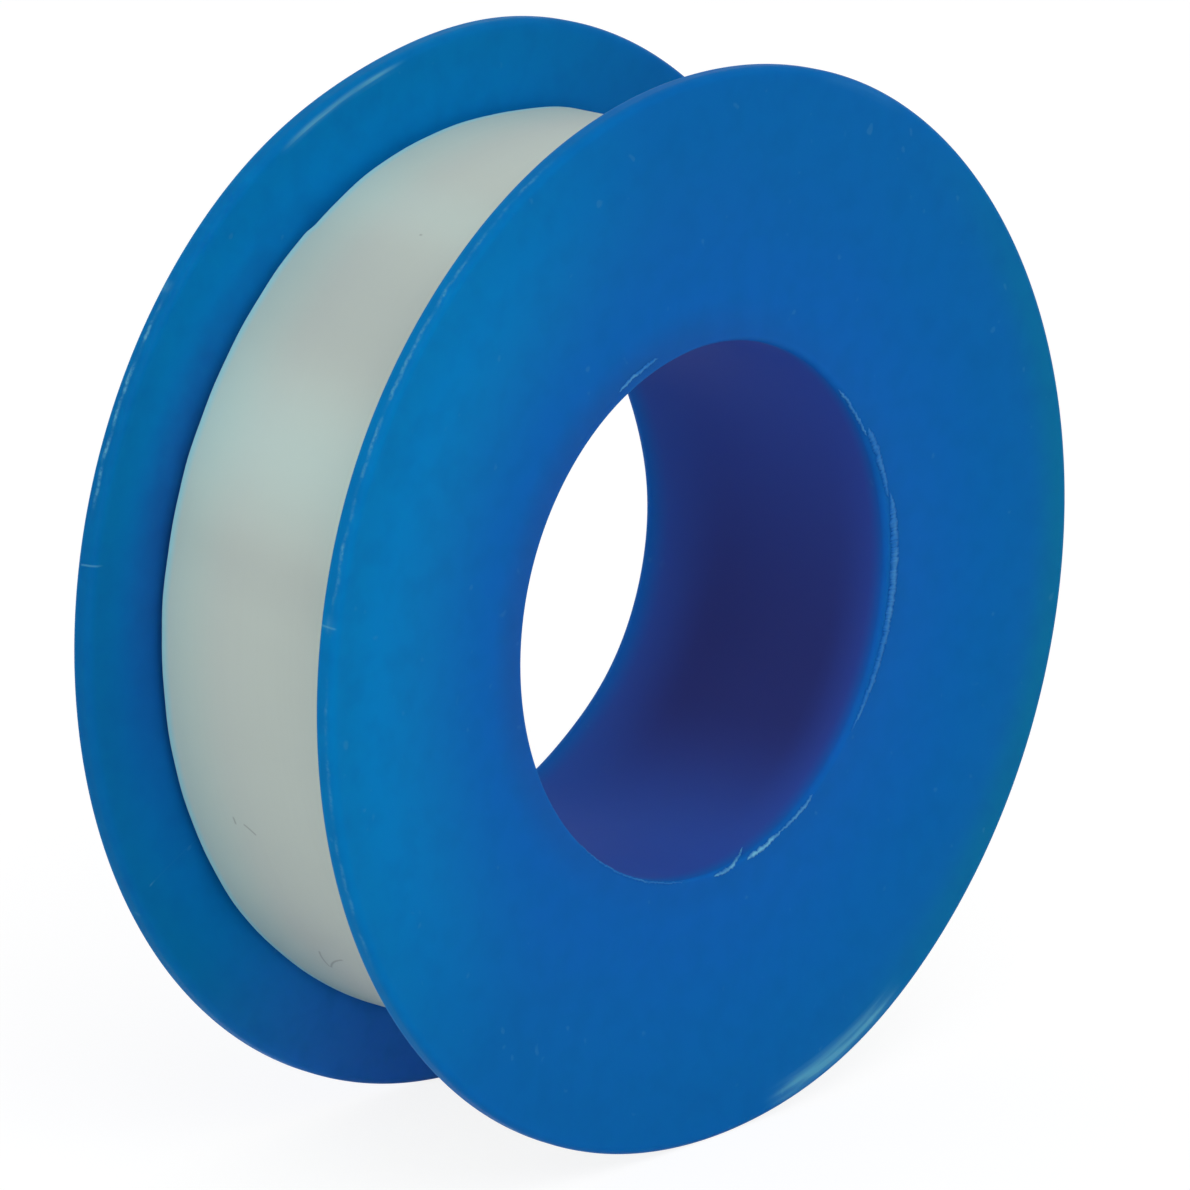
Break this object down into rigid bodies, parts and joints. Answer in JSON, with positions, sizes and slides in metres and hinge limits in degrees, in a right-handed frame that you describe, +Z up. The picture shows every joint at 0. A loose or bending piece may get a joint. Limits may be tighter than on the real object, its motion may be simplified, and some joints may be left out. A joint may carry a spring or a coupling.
{
  "type": "thread seal tape roll",
  "caption": "White thread seal tape wound on a flat blue plastic spool with dished round flanges and a wide open hub, with a free end that lifts and unwinds.",
  "frame": {"origin": "middle of the hub's bore, halfway between the two flanges", "axes": "+Y along the spool's axis, from the front flange to the rear flange; +Z up, with the roll standing on its two rims; the free end of the tape is on the +X side"},
  "size_m": [0.05, 0.016, 0.05],
  "materials": {
    "spool": "moulded, smooth, slightly translucent",
    "tape": "satin, waxy, slightly translucent"
  },
  "bodies": {
    "spool": {"front_spool_half": "spool", "rear_spool_half": "spool", "tape_pack": "tape"},
    "outer_turn": {"tape_outer_turn": "tape"},
    "tape_end": {"tape_free_end": "tape"}
  },
  "joints": [
    {"name": "tape_unwind", "type": "hinge", "parent": "spool", "child": "outer_turn", "pos_m": [0, 0, 0], "axis": [0, 1, 0], "continuous": true},
    {"name": "tape_end_lift", "type": "hinge", "parent": "outer_turn", "child": "tape_end", "pos_m": [0.0209, 0, 0], "axis": [0, 1, 0], "range_deg": [0, 150]}
  ]
}
